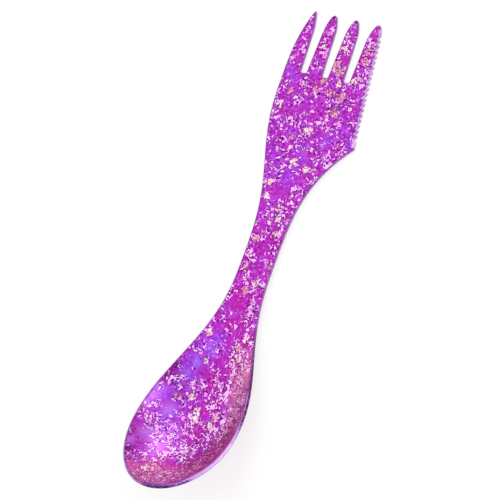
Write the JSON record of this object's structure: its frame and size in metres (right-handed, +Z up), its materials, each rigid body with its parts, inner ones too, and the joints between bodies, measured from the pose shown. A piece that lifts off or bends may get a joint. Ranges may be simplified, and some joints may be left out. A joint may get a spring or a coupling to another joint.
{
  "type": "spork",
  "caption": "Double-ended metal spork with a deep spoon bowl at one end and a slotted fork with a serrated outer knife edge at the other.",
  "frame": {"origin": "middle of the footprint, at the height of the surface that the spork lies on", "axes": "+X from the bowl to the tine tips, +Y to the fork's plain side, +Z up, out of the open bowl"},
  "size_m": [0.1702, 0.0396, 0.0217],
  "materials": {
    "spork": "satin mottled anodising"
  },
  "bodies": {
    "root": {"spork": "spork"}
  },
  "joints": []
}
